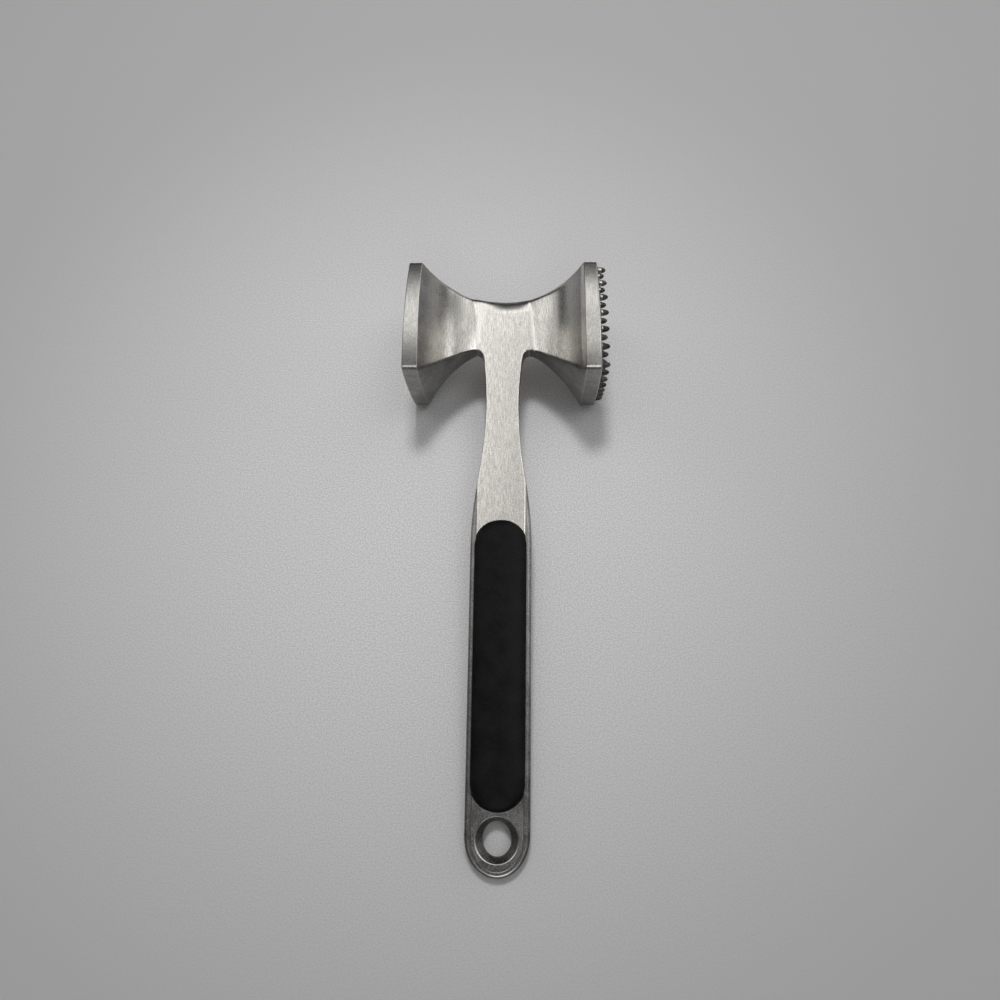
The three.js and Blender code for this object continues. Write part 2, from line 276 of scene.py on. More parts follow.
# Joins a shape to a body, or cuts it away, and removes the shape
def combine(body, shape, operation):
    modifier = body.modifiers.new("combine", "BOOLEAN")
    modifier.solver = "MANIFOLD"
    modifier.operation = operation
    modifier.object = shape
    bpy.context.view_layer.update()
    applyModifiers(body)
    bpy.data.objects.remove(shape)


def mix(low, high, share):
    return low + (high - low) * share


def pointOnQuadratic(a, b, c, t):
    return a * (1 - t) ** 2 + b * 2 * t * (1 - t) + c * t * t


def pointOnCubic(a, b, c, d, t):
    return a * (1 - t) ** 3 + b * 3 * t * (1 - t) ** 2 + c * 3 * t * t * (1 - t) + d * t ** 3


# The lower of two heights, rounded where they meet
def softMinimum(a, b, softness):
    overlap = max(softness - abs(a - b), 0) / softness
    return min(a, b) - overlap * overlap * softness / 4


# Half thickness of the head at x: flat over the boss, then an arc that rises to the plate's rim
def halfDepthAt(x):
    startAngle = headSizes["coveStartAngle"]
    run = plateInnerX - halfFlat
    rise = halfFaceDepth - halfWaist
    turn = 2 * (math.atan2(rise, run) - startAngle)
    radius = math.hypot(run, rise) / (2 * math.sin(turn / 2))
    angle = math.asin(min((x - halfFlat) / radius + math.sin(startAngle), math.sin(startAngle + turn)))
    arc = halfWaist + radius * (math.cos(startAngle) - math.cos(angle))
    arc += max(x - plateInnerX, 0) * math.tan(startAngle + turn)
    arc = -softMinimum(-arc, -halfWaist, headSizes["bossSoftening"])
    return softMinimum(arc, halfFaceDepth, headSizes["plateSoftening"])


# How far the waist reaches up or down at x: its reach in the middle grows to the plates' rims
def archAt(x, middle):
    rise = halfFaceHeight - middle
    return softMinimum(middle + rise * (x / plateInnerX) ** 2, halfFaceHeight, headSizes["plateSoftening"])


def topAt(x):
    return archAt(x, headSizes["waistTop"])


def undersideAt(x):
    return -archAt(x, headSizes["waistUnderside"])


# A point of the head, moved in toward the middle by its height above the handle side
def leanIn(x, y, z):
    away = abs(x)
    lean = headSizes["creaseLean"] * min(max(away - halfFlat, 0) / (plateInnerX - halfFlat), 1)
    if away > plateInnerX:
        share = (away - plateInnerX) / headSizes["plateThickness"]
        lean = mix(headSizes["creaseLean"], headSizes["faceLean"], share)
    return (x - math.copysign(lean, x) * (y + halfFaceHeight) / headSizes["faceHeight"], y, z)


def smoothStep(low, high, value):
    share = min(max((value - low) / (high - low), 0), 1)
    return share * share * (3 - 2 * share)


def landSide(x):
    return landSizes["left" if x < 0 else "right"]


# How far from the middle a side of the land ends at height y
def landEdge(land, y):
    return abs(land["edge"]) - land["lean"] * y - land["curl"] * max(y, 0) ** 2


# Width of the roll, or depth of the step, at height y
def wornSize(sizes, y):
    return mix(*sizes, smoothStep(*landSizes["worn"], y))


# How far the head's surface at x moves aside at height y, so that its crease follows the land's edge
def landShift(x, y):
    beyond = abs(x) - halfFlat
    share = 1 - smoothStep(0, landSizes["blend"], beyond) if beyond > 0 else abs(x) / halfFlat
    return math.copysign((landEdge(landSide(x), y) - halfFlat) * share, x)


# 0 below the brow, and 1 at the top of the waist
def browHeight(x, y):
    return max((y - topAt(abs(x))) / landSizes["browReach"] + 1, 0)


def browShare(x):
    return smoothStep(*landSizes["browRise"], x) * (1 - smoothStep(*landSizes["browFall"], x))


# How far the head's surface lies under the land's plane because of the land's rolled sides and brow
def landDrop(x, y):
    land = landSide(x)
    beyond = abs(x) - halfFlat
    if beyond > 0:
        share = 1 - smoothStep(0, landSizes["fade"], beyond)
    else:
        share = max(beyond / wornSize(land["roll"], y) + 1, 0) ** 2
    brow = browHeight(x, y) ** 2 * landSizes["browDepth"]
    return wornSize(land["step"], y) * share + brow * browShare(x)


# Sine and cosine at even steps of a quarter turn
def quarterTurn(steps):
    angles = [math.pi / 2 * i / steps for i in range(steps + 1)]
    return [(math.sin(angle), math.cos(angle)) for angle in angles]


# Closed ring of the head at x: four bowed sides joined by rounded corners
def headRing(x, halfDepth, top, underside, flare, topRadius, undersideRadius):
    corners = [Vector(c) for c in ((top, halfDepth), (underside, halfDepth),
                                   (underside, -halfDepth), (top, -halfDepth))]
    outward = [Vector(c) for c in ((0, 1), (-1, 0), (0, -1), (1, 0))]
    bows = [headSizes["faceDepthBow"], headSizes["faceHeightBow"]] * 2
    radii = [topRadius, undersideRadius, undersideRadius, topRadius]
    sides = []
    for i, corner in enumerate(corners):
        after = corners[(i + 1) % 4]
        sides.append((corner, (corner + after) / 2 + outward[i] * 2 * bows[i] * flare, after))
    lengths = [(side[2] - side[0]).length for side in sides]
    limit = headSizes["filletLimit"] * min(lengths)
    points = []
    for i, side in enumerate(sides):
        after = (i + 1) % 4
        first = min(radii[i], limit) / lengths[i]
        last = 1 - min(radii[after], limit) / lengths[i]
        for k in range(headSizes["sideSteps"] + 1):
            points.append(pointOnQuadratic(*side, mix(first, last, k / headSizes["sideSteps"])))
        end = pointOnQuadratic(*side, last)
        start = pointOnQuadratic(*sides[after], min(radii[after], limit) / lengths[after])
        for k in range(1, headSizes["cornerSteps"]):
            points.append(pointOnQuadratic(end, corners[after], start, k / headSizes["cornerSteps"]))
    placed = []
    for point in points:
        squeeze = 1 - landDrop(x, point.x) / halfDepth
        moved = x + landShift(x, point.x)
        height = (point.x - underside) / (top - underside)
        low, high = underside - undersideAt(abs(x)), top - topAt(abs(x))
        height = mix(undersideAt(abs(moved)) + low, topAt(abs(moved)) + high, height)
        placed.append(leanIn(moved, height, point.y * squeeze))
    return placed


def headRingAt(x):
    away = abs(x)
    halfDepth = halfDepthAt(away)
    flare = (halfDepth - halfWaist) / (halfFaceDepth - halfWaist)
    corner = headSizes["faceCornerRadius"]
    edge = max(away - faceX + headSizes["faceEdgeRadius"], 0)
    inset = headSizes["faceEdgeRadius"] - math.sqrt(max(headSizes["faceEdgeRadius"] ** 2 - edge ** 2, 0))
    return headRing(x, halfDepth - inset, topAt(away) - inset, undersideAt(away) + inset, flare,
                    mix(headSizes["waistTopRadius"], corner, flare),
                    mix(headSizes["waistUndersideRadius"], corner, flare))


# Places along half of the head where its rings stand, closer together where its form turns
def headStations():
    edge = headSizes["faceEdgeRadius"]
    cove = plateInnerX - halfFlat
    stations = [halfFlat * i / headSizes["flatSteps"] for i in range(headSizes["flatSteps"])]
    stations += [halfFlat - place for place in headSizes["flatEndPlaces"]]
    stations += [halfFlat + place for place in headSizes["coveStartPlaces"]]
    stations += [halfFlat + cove * sine for sine, _ in quarterTurn(headSizes["coveSteps"])[2:-1]]
    stations += [plateInnerX + place for place in headSizes["creasePlaces"]]
    stations += [faceX - edge + edge * sine for sine, _ in quarterTurn(headSizes["edgeSteps"])]
    return sorted(stations)


def makeHead():
    half = headStations()
    return loft("castingBody", [headRingAt(x) for x in [-x for x in reversed(half[1:])] + half])


# Right side of the bar's outline, from inside the waist down to where its width stays the same
def barSide():
    rootX = handleSizes["rootWidth"] / 2
    neckX = handleSizes["neckWidth"] / 2
    filletX = rootX + handleSizes["rootFillet"]
    filletTop = Vector((filletX, undersideAt(filletX) + handleSizes["rootSeat"]))
    rootEnd = Vector((rootX, -headSizes["waistUnderside"] - handleSizes["rootLength"]))
    narrow = Vector((neckX, -handleSizes["narrowReach"]))
    shoulder = Vector((barHalfWidth, -handleSizes["shoulderReach"]))
    steps = handleSizes["curveSteps"]
    points = [Vector(point) for point in landSizes["core"]] + [filletTop]
    for i in range(handleSizes["rootSkip"], steps + 1):
        points.append(pointOnQuadratic(filletTop, Vector((rootX, filletTop.y)), rootEnd, i / steps))
    bend = Vector((neckX, (rootEnd.y + narrow.y) / 2))
    for i in range(1, steps + 1):
        points.append(pointOnQuadratic(rootEnd, bend, narrow, i / steps))
    return points + outlineCurve(narrow, shoulder, handleSizes["shoulderHandles"])[1:]


def outlineCurve(start, end, handles):
    first, second = [Vector((mix(start.x, end.x, across), mix(start.y, end.y, along)))
                     for across, along in handles]
    steps = handleSizes["curveSteps"]
    return [pointOnCubic(start, first, second, end, i / steps) for i in range(steps + 1)]


def flangeSide():
    start = Vector((barHalfWidth - handleSizes["flangeStartInset"], -handleSizes["flangeStartReach"]))
    end = Vector((handleSizes["width"] / 2, -handleSizes["flangeFullReach"]))
    return outlineCurve(start, end, handleSizes["flangeHandles"])


# Whole outline from its right side, anticlockwise and closed at the bottom by a half ellipse
def closeOutline(side, halfWidth, endLength):
    outline = list(side)
    for i in range(handleSizes["endSteps"] // 2 + 1):
        angle = math.pi * i / handleSizes["endSteps"]
        outline.append(Vector((halfWidth * math.cos(angle), handleEndY - endLength * math.sin(angle))))
    mirrored = [Vector((-point.x, point.y)) for point in reversed(outline[:-1])]
    return list(reversed(outline + mirrored))


# The outline moved inwards by a distance, each point along its own normal
def insetOutline(outline, distance):
    moved = []
    for i, point in enumerate(outline):
        before = (point - outline[i - 1]).normalized()
        after = (outline[(i + 1) % len(outline)] - point).normalized()
        along = (before + after).normalized()
        moved.append(point + Vector((-along.y, along.x)) * distance)
    return moved


# A plate of the outline with rounded edges, centred on the mid plane
def roundedPlate(name, outline, thickness, radius, steps):
    rings = []
    for side in (-1, 1):
        for sine, cosine in quarterTurn(steps)[::side]:
            z = side * (thickness / 2 - radius * (1 - sine))
            rings.append([(point.x, point.y, z) for point in insetOutline(outline, radius * (1 - cosine))])
    return loft(name, rings)


# Closed ring of an ellipse whose middle is at height y on the mid line
def ellipseRing(width, height, y, z, steps):
    angles = [2 * math.pi * i / steps for i in range(steps)]
    return [(width / 2 * math.cos(angle), y + height / 2 * math.sin(angle), z) for angle in angles]


# Cutting shape of the hang hole: straight in the middle, with a bevel to each side and soft edges
def makeHoleCutter():
    land = holeSizes["landThickness"] / 2
    depth = halfWaist - land
    radius = holeSizes["mouthEdgeRadius"]
    profile = [(0, land), (0.5, mix(land, halfWaist, 0.5)), (1 - radius / depth, halfWaist - radius)]
    for sine, cosine in quarterTurn(holeSizes["edgeSteps"])[1:]:
        fall = radius * (1 - sine)
        spread = 2 * radius * (1 - cosine) / (holeSizes["mouthWidth"] - holeSizes["width"])
        profile.append((1 - fall / depth + spread, halfWaist - fall))
    profile.append((profile[-1][0], halfWaist + overrun))
    rings = []
    for share, z in [(share, -z) for share, z in reversed(profile)] + profile:
        width = mix(holeSizes["width"], holeSizes["mouthWidth"], share)
        height = mix(holeSizes["height"], holeSizes["mouthHeight"], share)
        rings.append(ellipseRing(width, height, holeY, z, holeSizes["steps"]))
    return loft("holeCutter", rings)


# Closed ring with straight sides and round ends, anticlockwise about Z, centred on the grip
def stripRing(halfWidth, halfLength, z):
    ring = []
    straight = gripSizes["length"] / 2 - gripSizes["width"] / 2
    rise = halfLength - straight
    for end in (1, -1):
        for i in range(gripSizes["roundSteps"] + 1):
            angle = math.pi * i / gripSizes["roundSteps"]
            y = gripY + end * (straight + rise * math.sin(angle))
            ring.append((end * halfWidth * math.cos(angle), y, z))
    return ring


# Cutting shape of a pad's recess on one side of the handle, with a softened upper edge
def makeRecessCutter(side):
    radius = gripSizes["recessEdgeRadius"]
    halfWidth = gripSizes["width"] / 2 + gripSizes["clearance"]
    profile = [(radius * (1 - cosine), halfWaist - radius * (1 - sine))
               for sine, cosine in quarterTurn(gripSizes["recessEdgeSteps"])]
    profile = [(0, halfFlange), *profile, (radius, halfWaist + overrun)]
    halfLength = gripSizes["length"] / 2 + gripSizes["clearance"]
    rings = [stripRing(halfWidth + out, halfLength + out, side * z) for out, z in profile]
    return loft("recessCutter", rings if side > 0 else list(reversed(rings)))


def makePeg(diameter, low, high, y):
    return loft("peg", [ellipseRing(diameter, diameter, y, z, gripSizes["pegSides"]) for z in (low, high)])


pegReach = gripSizes["length"] / 2 - gripSizes["pegInset"]
pegPlaces = [gripY - pegReach, gripY + pegReach]


# Adds nodes to a tree and hands back their outputs
class NodeMaker:
    def __init__(self, tree):
        self.tree = tree

    def put(self, socket, value):
        if isinstance(value, bpy.types.NodeSocket):
            self.tree.links.new(value, socket)
        else:
            socket.default_value = value

    # inputs gives a number, a colour or another node's output for each input's name or place
    def add(self, kind, inputs=None, **settings):
        node = self.tree.nodes.new(kind)
        for name, value in settings.items():
            setattr(node, name, value)
        for name, value in (inputs or {}).items():
            self.put(node.inputs[name], value)
        return node.outputs

    def maths(self, operation, *values):
        return self.add("ShaderNodeMath", dict(enumerate(values)), operation=operation)[0]

    def times(self, a, b):
        return self.maths("MULTIPLY", a, b)

    def vector(self, x=0, y=0, z=0):
        return self.add("ShaderNodeCombineXYZ", {"X": x, "Y": y, "Z": z})[0]

    def ramp(self, value, low, high, outLow=0, outHigh=1):
        inputs = {"Value": value, "From Min": low, "From Max": high, "To Min": outLow, "To Max": outHigh}
        return self.add("ShaderNodeMapRange", inputs, interpolation_type="SMOOTHSTEP")["Result"]

    # Object coordinates in millimetres
    def place(self):
        spot = self.add("ShaderNodeTexCoord")["Object"]
        return self.add("ShaderNodeVectorMath", {0: spot, "Scale": 1000}, operation="SCALE")[0]

    def stretched(self, spot, x, y, z):
        return self.add("ShaderNodeVectorMath", {0: spot, 1: self.vector(x, y, z)}, operation="DIVIDE")[0]

    def noise(self, spot, scale, detail=2, roughness=0.5):
        return self.add("ShaderNodeTexNoise", {"Vector": spot, "Scale": scale, "Detail": detail,
                                               "Roughness": roughness})["Fac"]

    def colours(self, share, low, high):
        low, high = ((*colour, 1) if isinstance(colour, tuple) else colour for colour in (low, high))
        return self.add("ShaderNodeMix", {"Factor": share, "A": low, "B": high}, data_type="RGBA")["Result"]

    def attribute(self, name):
        return self.add("ShaderNodeAttribute", attribute_name=name)["Fac"]

    def effect(self, tree, values):
        return self.add("ShaderNodeGroup", values, node_tree=tree)

    def bump(self, height, depth, after=None):
        inputs = {"Distance": depth / 1000, "Height": height}
        if after is not None:
            inputs["Normal"] = after
        return self.add("ShaderNodeBump", inputs)["Normal"]


# Geometry nodes that set out the studs in rows bent to the bowed outline of the face, with the values
# as their inputs
def makeStudTree(values):
    tree = bpy.data.node_groups.new("studField", "GeometryNodeTree")
    kinds = {int: "NodeSocketInt", float: "NodeSocketFloat", bpy.types.Material: "NodeSocketMaterial"}
    sockets = {name: tree.interface.new_socket(name, in_out="INPUT", socket_type=kinds[type(value)]).identifier
               for name, value in values.items()}
    tree.interface.new_socket("Geometry", in_out="OUTPUT", socket_type="NodeSocketGeometry")
    make = NodeMaker(tree)
    maths, times = make.maths, make.times
    given = make.add("NodeGroupInput")
    grid = make.add("GeometryNodeMeshGrid", {"Size X": 2, "Size Y": 2, "Vertices X": given["Rows"],
                                             "Vertices Y": given["Rows"]})
    place = make.add("ShaderNodeSeparateXYZ", {0: make.add("GeometryNodeInputPosition")[0]})
    across, deep = place["X"], place["Y"]

    def bowed(half, bow, along, other):
        fall = maths("SUBTRACT", 1, times(other, other))
        bulge = times(given[bow], fall)
        return times(along, maths("SUBTRACT", maths("ADD", given[half], bulge), given["Margin"]))

    # The face leans in with its height, so each row stands a little nearer the middle
    up = bowed("Face Half Height", "Height Bow", across, deep)
    lean = times(given["Face Slope"], maths("ADD", up, given["Face Half Height"]))
    spot = make.vector(maths("SUBTRACT", given["Face Place"], lean), up,
                       bowed("Face Half Depth", "Depth Bow", deep, across))
    bent = make.add("GeometryNodeSetPosition", {"Geometry": grid["Mesh"], "Position": spot})
    turned = make.add("FunctionNodeEulerToRotation",
                      {"Euler": make.vector(z=maths("ARCTANGENT", given["Face Slope"], 0))})

    foot = make.vector(times(given["Stud Root"], -1))
    axis = make.add("GeometryNodeCurvePrimitiveLine", {"Start": foot, "End": make.vector(given["Stud Height"])})
    stepped = make.add("GeometryNodeResampleCurve", {"Curve": axis[0], "Count": given["Stud Steps"]})
    profile = tree.nodes.new("ShaderNodeFloatCurve")
    curve = profile.mapping.curves[0]
    top = max(radius for along, radius in studSizes["profile"])
    curve.points[0].location = (0, studSizes["profile"][0][1] / top)
    curve.points[-1].location = (1, studSizes["profile"][-1][1] / top)
    for along, radius in studSizes["profile"][1:-1]:
        curve.points.new(along, radius / top)
    profile.mapping.update()
    make.put(profile.inputs["Value"], make.add("GeometryNodeSplineParameter")["Factor"])
    radius = times(profile.outputs[0], times(given["Stud Radius"], top))
    ring = make.add("GeometryNodeCurvePrimitiveCircle", {"Resolution": given["Stud Sides"], "Radius": 1})
    stud = make.add("GeometryNodeCurveToMesh", {"Curve": stepped[0], "Profile Curve": ring[0], "Scale": radius,
                                                "Fill Caps": True})

    copies = make.add("GeometryNodeInstanceOnPoints", {"Points": bent[0], "Instance": stud[0],
                                                       "Rotation": turned[0]})
    real = make.add("GeometryNodeRealizeInstances", {0: copies[0]})
    coated = make.add("GeometryNodeSetMaterial", {"Geometry": real[0], "Material": given["Material"]})
    make.add("NodeGroupOutput", {0: coated[0]})
    return tree, sockets


def makeStuds(material):
    values = {
        "Rows": studSizes["rows"],
        "Face Half Height": halfFaceHeight,
        "Face Half Depth": halfFaceDepth,
        "Margin": float(studSizes["margin"]),
        "Height Bow": headSizes["faceHeightBow"],
        "Depth Bow": headSizes["faceDepthBow"],
        "Face Place": faceX,
        "Face Slope": headSizes["faceLean"] / headSizes["faceHeight"],
        "Stud Height": studSizes["height"],
        "Stud Radius": studSizes["diameter"] / 2,
        "Stud Root": studSizes["root"],
        "Stud Sides": studSizes["sides"],
        "Stud Steps": studSizes["steps"],
        "Material": material,
    }
    tree, sockets = makeStudTree(values)
    studs = newObject("studs", bpy.data.meshes.new("studs"))
    modifier = studs.modifiers.new("studField", "NODES")
    modifier.node_group = tree
    for name, value in values.items():
        modifier[sockets[name]] = value
    bpy.context.view_layer.update()
    applyModifiers(studs)
    return studs


# Splits faces into groups that hang together. joins says whether a neighbour belongs to a seed's group
def faceGroups(faces, joins):
    left = set(faces)
    for seed in faces:
        if seed not in left:
            continue
        left.remove(seed)
        group, stack = [], [seed]
        while stack:
            face = stack.pop()
            group.append(face)
            for edge in face.edges:
                for other in edge.link_faces:
                    if other in left and joins(edge, seed, other):
                        left.remove(other)
                        stack.append(other)
        yield group


# Area of the flat patch that each face belongs to, so that slivers left by the cuts count in full
def patchAreas(work):
    areas = {}
    for group in faceGroups(work.faces, lambda edge, seed, other: other.normal.dot(seed.normal) > flatCosine):
        area = sum(face.calc_area() for face in group)
        areas.update((face.index, area) for face in group)
    return areas


# Groups of faces round a point that no sharp edge parts
def smoothGroups(vert):
    return faceGroups(vert.link_faces, lambda edge, seed, other: vert in edge.verts and edge.smooth)


# How sharply the surface bends outwards at a point, in turns per millimetre
def bendAt(vert):
    turn = sum(edge.calc_face_angle_signed(0) * edge.calc_length() for edge in vert.link_edges)
    return turn / (4 * max(sum(face.calc_area() for face in vert.link_faces) / 3, 1e-6))


# Marks creases as sharp, sets every corner's normal, and stores the masks that the materials read:
# one for wear on outward bends and polish on the land's rolls, which also paints highlights there, and
# one for the unbrushed skin, which also carries painted shade and highlights
def finishSurface(thing, sharpAngle, skinAndPaintedLightAt=None, highlightAndPolishAt=None):
    work = bmesh.new()
    work.from_mesh(thing.data)
    bmesh.ops.remove_doubles(work, verts=work.verts, dist=mergeReach)
    bmesh.ops.dissolve_degenerate(work, edges=work.edges, dist=sliverReach)
    bmesh.ops.recalc_face_normals(work, faces=work.faces)
    work.faces.index_update()
    work.verts.index_update()
    for face in work.faces:
        face.smooth = True
    for edge in work.edges:
        edge.smooth = not (edge.is_manifold and edge.calc_face_angle(0) > sharpAngle)
    areas = patchAreas(work)
    bends = [bendAt(vert) for vert in work.verts]
    cornerNormals = {}
    for vert in work.verts:
        for group in smoothGroups(vert):
            total = Vector()
            for face in group:
                corner = next(loop for loop in face.loops if loop.vert == vert)
                total += face.normal * areas[face.index] * max(corner.calc_angle(), 1e-4)
            for face in group:
                cornerNormals[face.index, vert.index] = total.normalized()
    normals, wear, skin = [], [], []
    for face in work.faces:
        wide = areas[face.index] > wearSizes["widePatch"]
        for loop in face.loops:
            normal = cornerNormals[face.index, loop.vert.index]
            normals.append(normal)
            bend = bends[loop.vert.index]
            worn = 0 if wide else wearSizes["plain"] * smoothStep(*wearSizes["bends"], bend)
            wear.append(max(worn, highlightAndPolishAt(loop.vert.co, normal)) if highlightAndPolishAt else worn)
            skin.append(skinAndPaintedLightAt(loop.vert.co, normal, face) if skinAndPaintedLightAt else 0)
    work.to_mesh(thing.data)
    work.free()
    thing.data.normals_split_custom_set(normals)
    for name, values in (("edgeHighlightAndWear", wear), ("skinAndPaintedLight", skin)):
        layer = thing.data.attributes.new(name, "FLOAT", "CORNER")
        layer.data.foreach_set("value", values)


# How much of the cast skin shows at a corner of a face, as skinSizes says, with painted light in the same
# value: painted shade on the brow and in the hang hole's mouth, painted highlights on the lips, and a darker
# colour on the studs and toward the handle's end
def skinAndPaintedLightAt(point, normal, face):
    away, slope = abs(point.x), abs(normal.z)
    if away > faceX + skinSizes["studReach"]:
        return skinSizes["studs"]
    if normal.x < skinSizes["smoothFaceSlope"]:
        return skinSizes["smoothFace"]
    # lips are the rounded edges of the hang hole's mouth and of the handle's end, painted lighter as highlights
    inner, outer = skinSizes["lipSlopes"]
    lip = smoothStep(*inner, slope) * (1 - smoothStep(*outer, slope))
    # the hang hole's mouth and wall are painted darker as shade
    mouthRadius = holeSizes["mouthHeight"] / 2 + skinSizes["mouthReach"]
    if math.hypot(point.x, point.y - holeY) < mouthRadius and slope < skinSizes["mouthSlope"]:
        return skinSizes["mouth"] - skinSizes["mouthLip"] * lip
    plate = smoothStep(*(plateInnerX - reach for reach in skinSizes["plateReach"]), away)
    rimSlopes = [mix(*pair, plate) for pair in zip(skinSizes["rimSlopes"], skinSizes["plateRimSlopes"])]
    rim = 1 - smoothStep(*rimSlopes, slope)
    ledge = 1 if abs(face.calc_center_median().z) < halfFlange + skinSizes["ledgeReach"] else 0
    end = smoothStep(*skinSizes["rawHeights"], point.y)
    raw = max(rim, ledge, end) * (1 + skinSizes["darkening"] * smoothStep(*skinSizes["darkeningHeights"], point.y))
    # the brow at the top of the head is painted as darker raw skin: painted shade
    brow = smoothStep(*skinSizes["browShares"], browHeight(point.x, point.y) * browShare(point.x))
    skin = max(skinSizes["plate"] * plate, raw, skinSizes["brow"] * brow)
    # the lip of the handle's end is painted lighter: a painted highlight
    return skin * (1 - skinSizes["endLip"] * lip * smoothStep(*skinSizes["endLipHeights"], point.y))


# 1 on the rolled sides of the land, where hands and use have worn a polish. Their lighter colour also paints
# the highlight lines along the land's edges
def highlightAndPolishAt(point, normal):
    low, high = undersideAt(abs(point.x)), topAt(abs(point.x))
    if abs(normal.z) < wearSizes["polishSlope"] or not low < point.y < high:
        return 0
    land = landSide(point.x)
    beyond = (abs(point.x) - landEdge(land, point.y)) / wornSize(land["roll"], point.y)
    return smoothStep(*wearSizes["polishInner"], beyond) * (1 - smoothStep(*wearSizes["polishOuter"], beyond))


# Gives a finished piece its material and moves it into the row's frame
def settle(thing, material):
    thing.data.materials.clear()
    thing.data.materials.append(material)
    thing.data.transform(toolToRow)
    return thing


def makeCasting(material):
    body = makeHead()
    outline = closeOutline(barSide(), barHalfWidth, handleSizes["endLength"] - handleSizes["ledgeWidth"])
    combine(body, roundedPlate("bar", outline, headSizes["waistThickness"],
                               handleSizes["barEdgeRadius"], handleSizes["barEdgeSteps"]), "UNION")
    outline = closeOutline(flangeSide(), handleSizes["width"] / 2, handleSizes["endLength"])
    combine(body, roundedPlate("flange", outline, handleSizes["flangeThickness"],
                               handleSizes["flangeRimRadius"], handleSizes["rimSteps"]), "UNION")
    combine(body, makeStuds(material), "UNION")
    holeDiameter = gripSizes["pegDiameter"] + 2 * gripSizes["pegClearance"]
    reach = halfFlange + overrun
    pegHoles = [makePeg(holeDiameter, -reach, reach, place) for place in pegPlaces]
    for cutter in (makeRecessCutter(1), makeRecessCutter(-1), makeHoleCutter(), *pegHoles):
        combine(body, cutter, "DIFFERENCE")
    finishSurface(body, headSizes["sharpAngle"], skinAndPaintedLightAt, highlightAndPolishAt)
    return settle(body, material)


# A pad: soft foot, upright sides, a crowned top, and two pegs underneath. side is 1 for the front
def makeGripPad(name, side, material):
    floor = halfFlange + gripSizes["bondGap"]
    shoulder = floor + gripSizes["sideHeight"]
    foot = gripSizes["footRadius"]
    halfWidth, halfLength = gripSizes["width"] / 2, gripSizes["length"] / 2
    rings = []
    for sine, cosine in quarterTurn(gripSizes["footSteps"]):
        inset = foot * (1 - sine)
        rings.append(stripRing(halfWidth - inset, halfLength - inset, floor + foot * (1 - cosine)))
    for sine, cosine in quarterTurn(gripSizes["crownSteps"])[:-1]:
        width = halfWidth * cosine
        rings.append(stripRing(width, halfLength - halfWidth + width, shoulder + gripSizes["crown"] * sine))
    pad = loft(name, rings)
    for place in pegPlaces:
        combine(pad, makePeg(gripSizes["pegDiameter"], gripSizes["pegTipGap"], shoulder, place), "UNION")
    if side < 0:
        pad.data.transform(Matrix.Rotation(math.pi, 4, "Y"))
    finishSurface(pad, gripSizes["sharpAngle"])
    return settle(pad, material)


# Shader effects that the materials share. Their lengths are in millimetres, like the sizes above

def newEffect(name, inputs, outputs):
    tree = bpy.data.node_groups.new(name, "ShaderNodeTree")
    for way, labels in (("INPUT", inputs), ("OUTPUT", outputs)):
        for label in labels:
            tree.interface.new_socket(label, in_out=way, socket_type="NodeSocketFloat")
    make = NodeMaker(tree)
    return tree, make, make.add("NodeGroupInput")


brushing = {
    "fineWidth": 0.8,         # of the coarse lines' width
    "fineLength": 0.03,       # of their length
    "coarseShare": 0.6,
    "detail": (2, 0.6),
    "tones": (0.39, 0.61),
}


# Fine lines left by brushing along the handle, in two widths
def makeBrushedGrain():
    tree, make, given = newEffect("brushedGrain", ["Width", "Length"], ["Height", "Tone"])
    place = make.place()
    coarse = make.noise(make.stretched(place, given["Width"], given["Length"], given["Width"]), 1,
                        *brushing["detail"])
    width = make.times(given["Width"], brushing["fineWidth"])
    length = make.times(given["Length"], brushing["fineLength"])
    fine = make.noise(make.stretched(place, width, length, width), 1, *brushing["detail"])
    both = make.maths("ADD", make.times(coarse, brushing["coarseShare"]),
                      make.times(fine, 1 - brushing["coarseShare"]))
    make.add("NodeGroupOutput", {"Height": both, "Tone": make.ramp(both, *brushing["tones"])})
    return tree


sanding = {
    "detail": (3, 0.65),
    "broadScale": 0.16,       # waves in a millimetre
    "fineShare": 0.7,
    "tones": (0.4, 0.6),
    "pitCore": 0.4,           # of a pit's size
    "pitChance": (0.55, 0.75),
}


# Sandy grain with small scattered pits, as on a raw casting or on moulded rubber
def makeGrainySkin():
    inputs = ["Grain", "Pit Spacing", "Pit Size"]
    tree, make, given = newEffect("grainySkin", inputs, ["Height", "Tone", "Pits"])
    place = make.place()
    size, spacing = given["Grain"], given["Pit Spacing"]
    fine = make.noise(make.stretched(place, size, size, size), 1, *sanding["detail"])
    broad = make.noise(place, sanding["broadScale"])
    cells = make.add("ShaderNodeTexVoronoi", {"Vector": make.stretched(place, spacing, spacing, spacing),
                                              "Scale": 1})
    chance = make.add("ShaderNodeSeparateColor", {"Color": cells["Color"]})["Red"]
    reach = make.maths("DIVIDE", given["Pit Size"], spacing)
    core = make.times(reach, sanding["pitCore"])
    near = make.ramp(cells["Distance"], core, reach, 1, 0)
    pits = make.times(near, make.ramp(chance, *sanding["pitChance"]))
    tone = make.maths("ADD", make.times(fine, sanding["fineShare"]),
                      make.times(broad, 1 - sanding["fineShare"]))
    make.add("NodeGroupOutput", {"Height": make.maths("SUBTRACT", fine, pits),
                                 "Tone": make.ramp(tone, *sanding["tones"]), "Pits": pits})
    return tree


scratching = {
    "directions": ((0.35, 11), (-1.1, 37), (1.75, 71)),    # turn, and shift that makes each set its own
    "depthLength": 4,
    "edge": 0.08,
}


